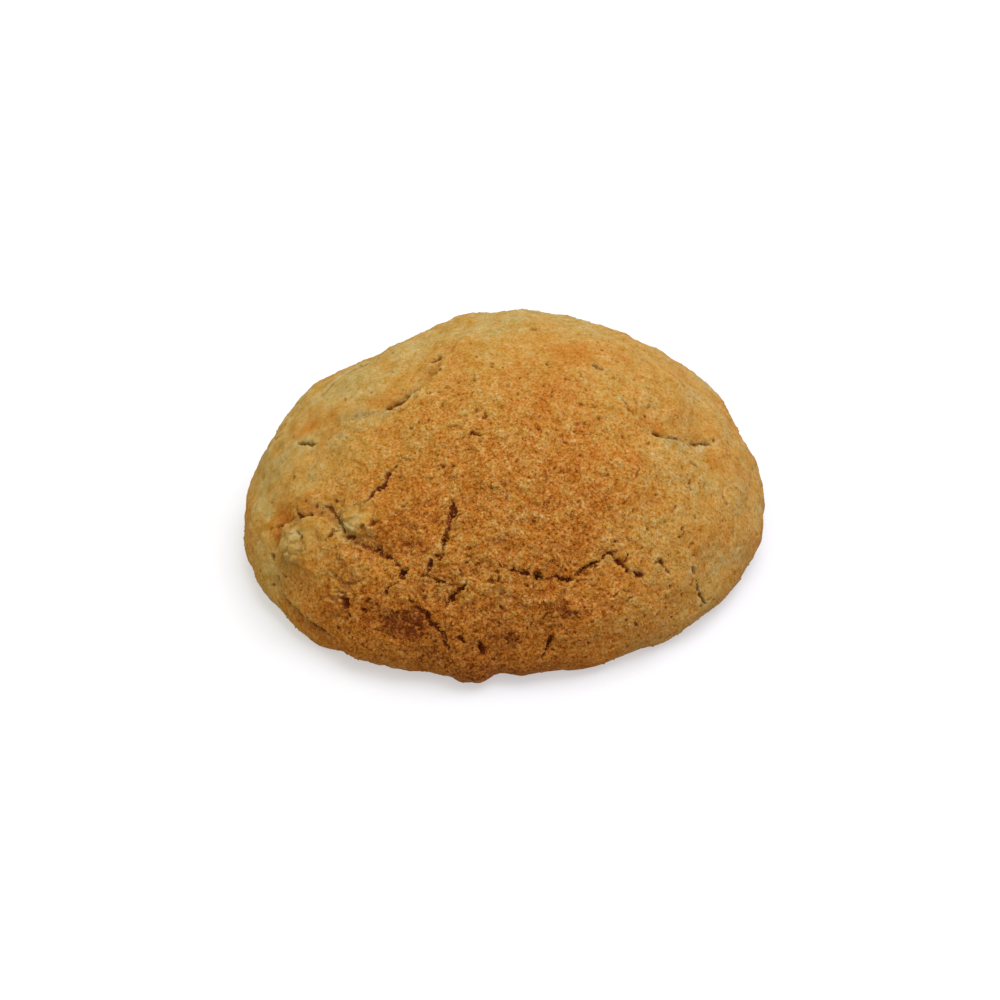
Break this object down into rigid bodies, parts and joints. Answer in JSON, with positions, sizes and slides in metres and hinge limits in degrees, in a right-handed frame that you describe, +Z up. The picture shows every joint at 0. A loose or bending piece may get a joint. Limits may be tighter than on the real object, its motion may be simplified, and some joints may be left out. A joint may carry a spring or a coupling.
{
  "type": "drop cookie",
  "caption": "Golden-brown domed drop cookie with a cracked, craggy, sandy crust and a flat underside.",
  "frame": {"origin": "middle of the cookie's width and depth, at the flat underside it stands on", "axes": "+Z up, +X to the right and -Y to the front as the picture sees it"},
  "size_m": [0.0804, 0.0722, 0.031],
  "materials": {
    "crust": "matte, sandy, browned crust"
  },
  "bodies": {
    "root": {"cookie": "crust"}
  },
  "joints": []
}
